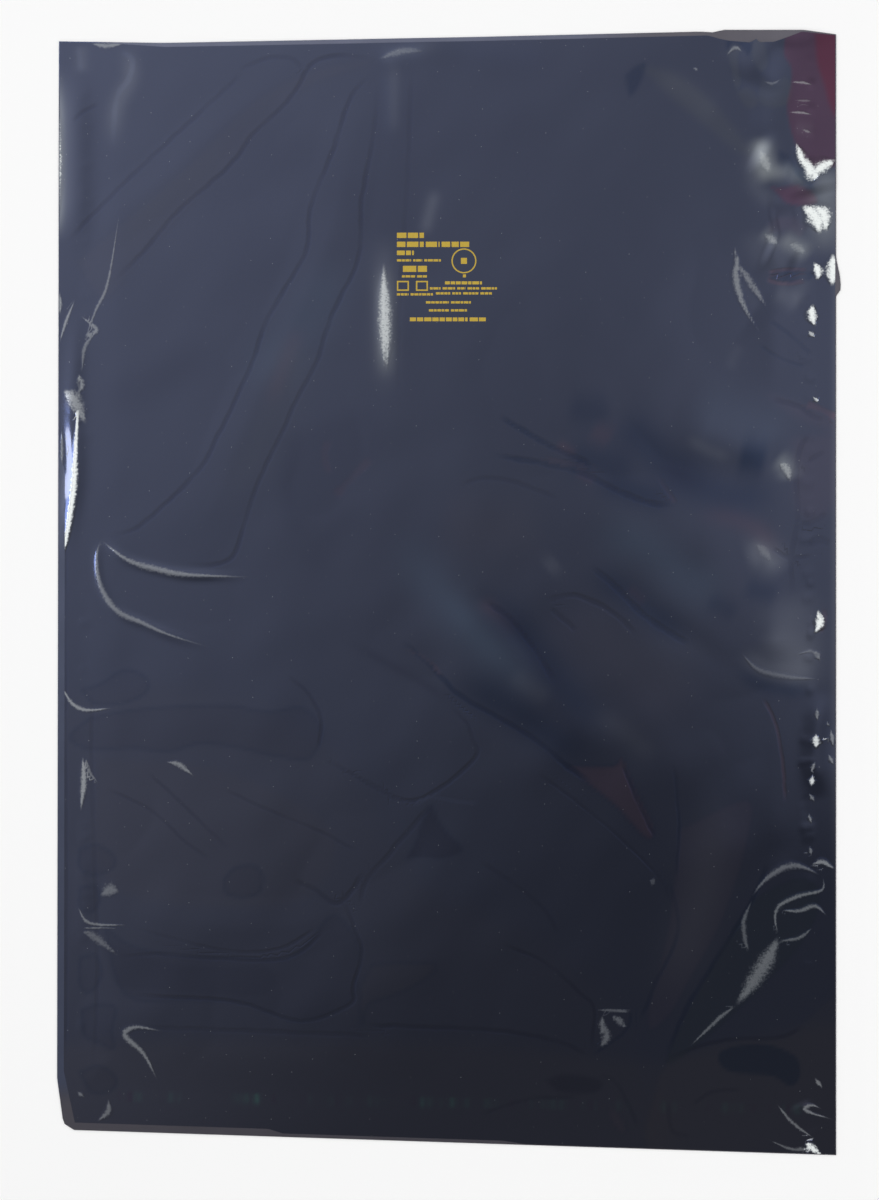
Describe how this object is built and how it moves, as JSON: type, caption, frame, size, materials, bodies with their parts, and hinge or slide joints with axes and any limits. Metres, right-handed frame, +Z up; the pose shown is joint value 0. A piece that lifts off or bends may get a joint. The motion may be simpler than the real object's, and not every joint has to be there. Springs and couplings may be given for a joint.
{
  "type": "static shielding bag",
  "caption": "Flat open-top bag of dark metallised film, welded along both sides and the bottom, lying empty with soft creases and yellow printed marks.",
  "frame": {"origin": "under the middle of the bag, on the surface that it lies on", "axes": "+X across the bag, +Y along it towards the open mouth, +Z up out of the printed face"},
  "size_m": [0.265, 0.378, 0.0027],
  "materials": {
    "metallised_film": "dark smoky blue-grey metallised film, glossy, with faint fine ripples and small specks"
  },
  "bodies": {
    "root": {"shielding_bag": "metallised_film"}
  },
  "joints": []
}
